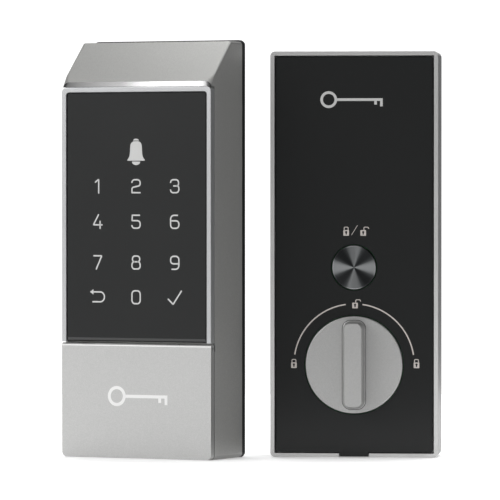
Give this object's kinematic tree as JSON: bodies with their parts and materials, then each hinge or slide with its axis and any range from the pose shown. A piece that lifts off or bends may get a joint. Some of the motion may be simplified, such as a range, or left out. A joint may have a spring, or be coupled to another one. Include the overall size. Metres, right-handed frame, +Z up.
{
  "type": "keypad smart lock",
  "caption": "Door lock set with a touch keypad and flip-up keyway cover on the outside unit, and a thumb turn, lock button and battery cover on the inside unit.",
  "frame": {"origin": "middle of the set's outline seen from above, on the plane both units stand on", "axes": "+Z up along both units; +Y into the door behind the inside unit; +X across, from the outside unit to the inside unit. The outside unit is turned 21.6 degrees clockwise about +Z, seen from above."},
  "size_m": [0.157, 0.0794, 0.1737],
  "materials": {
    "silver_paint": "fine silver metallic paint, satin",
    "dark_silver_paint": "fine silver metallic paint, satin, a shade darker",
    "polished_bezel": "light silver paint over a polished rim",
    "touch_glass": "black-printed glass, glossy and opaque",
    "black_panel": "black moulded panel, semi-gloss, white printed legends",
    "black_plastic": "fine spark texture",
    "black_rubber": "moulded, matt",
    "white_plastic": "moulded, plain",
    "circuit_board": "glass-fibre board with green solder mask",
    "steel": "zinc plated",
    "nickel_steel": "nickel plated, satin",
    "brass": "turned",
    "gear_plastic": "moulded acetal, natural",
    "spun_aluminium": "dark anodised, spun face with circular grain",
    "battery_sleeve": "shrink sleeve over a steel can"
  },
  "bodies": {
    "lock_body": {"outside_shell": "dark_silver_paint", "front_bezel": "polished_bezel", "touch_glass": "touch_glass", "glass_seal": "black_rubber", "light_guide": "white_plastic", "keypad_board": "circuit_board", "keypad_socket": "white_plastic", "buzzer": "black_plastic", "hinge_pin": "steel", "lock_cylinder": "nickel_steel", "mounting_post_left": "steel", "mounting_post_right": "steel", "back_plate": "black_plastic", "back_gasket": "black_rubber", "back_screw_1": "steel", "back_screw_2": "steel", "back_screw_3": "steel", "back_screw_4": "steel", "inside_housing": "silver_paint", "chassis": "black_plastic", "battery_spring_1": "nickel_steel", "battery_1": "battery_sleeve", "battery_contact_1": "nickel_steel", "battery_spring_2": "nickel_steel", "battery_2": "battery_sleeve", "battery_contact_2": "nickel_steel", "battery_spring_3": "nickel_steel", "battery_3": "battery_sleeve", "battery_contact_3": "nickel_steel", "battery_spring_4": "nickel_steel", "battery_4": "battery_sleeve", "battery_contact_4": "nickel_steel", "rear_bush": "brass", "front_bush": "brass", "idler_pin": "steel", "gear_motor": "nickel_steel", "gear_plate": "steel", "control_board": "circuit_board", "board_socket": "white_plastic", "tact_switch": "nickel_steel", "mounting_plate": "steel", "through_bolt_left": "steel", "through_bolt_right": "steel", "housing_screw_1": "steel", "housing_screw_2": "steel", "housing_screw_3": "steel", "housing_screw_4": "steel"},
    "keyway_cover_body": {"keyway_cover": "silver_paint"},
    "key_plug_body": {"key_plug": "brass", "plug_retainer": "nickel_steel", "tailpiece": "steel"},
    "front_cover_body": {"front_cover": "black_panel"},
    "thumb_turn_body": {"thumb_turn": "silver_paint", "spindle_hub": "steel", "output_gear": "gear_plastic"},
    "idler_body": {"idler_gear": "gear_plastic"},
    "motor_pinion_body": {"motor_pinion": "brass"},
    "button_body": {"button_face": "spun_aluminium", "button_carrier": "black_plastic"}
  },
  "joints": [
    {"name": "keyway_cover_flip", "type": "hinge", "parent": "lock_body", "child": "keyway_cover_body", "pos_m": [-0.0453, -0.02528, 0.046], "axis": [-0.9298, 0.3681, 0], "range_deg": [0, 90]},
    {"name": "key_plug_turn", "type": "hinge", "parent": "lock_body", "child": "key_plug_body", "pos_m": [-0.04158, -0.01589, 0.033], "axis": [0.3681, 0.9298, 0], "range_deg": [-90, 90]},
    {"name": "front_cover_lift", "type": "slide", "parent": "lock_body", "child": "front_cover_body", "axis": [0, -1, 0], "range_m": [0, 0.045]},
    {"name": "knob_turn", "type": "hinge", "parent": "lock_body", "child": "thumb_turn_body", "pos_m": [0.04347, 0.00374, 0.0386], "axis": [0, 1, 0], "range_deg": [-90, 90]},
    {"name": "idler_spin", "type": "hinge", "parent": "lock_body", "child": "idler_body", "pos_m": [0.05818, 0.00474, 0.05331], "axis": [0, 1, 0], "range_deg": [-301, 301]},
    {"name": "motor_spin", "type": "hinge", "parent": "lock_body", "child": "motor_pinion_body", "pos_m": [0.05484, 0.00824, 0.07222], "axis": [0, 1, 0], "range_deg": [-901, 901]},
    {"name": "button_press", "type": "slide", "parent": "lock_body", "child": "button_body", "axis": [0, 1, 0], "range_m": [0, 0.0008], "stiffness_N_per_m": 1500, "springref_m": -0.0004}
  ],
  "couplings": [
    {"joint": "idler_spin", "follows": "knob_turn", "ratio": -3.3333},
    {"joint": "motor_spin", "follows": "knob_turn", "ratio": 10}
  ]
}
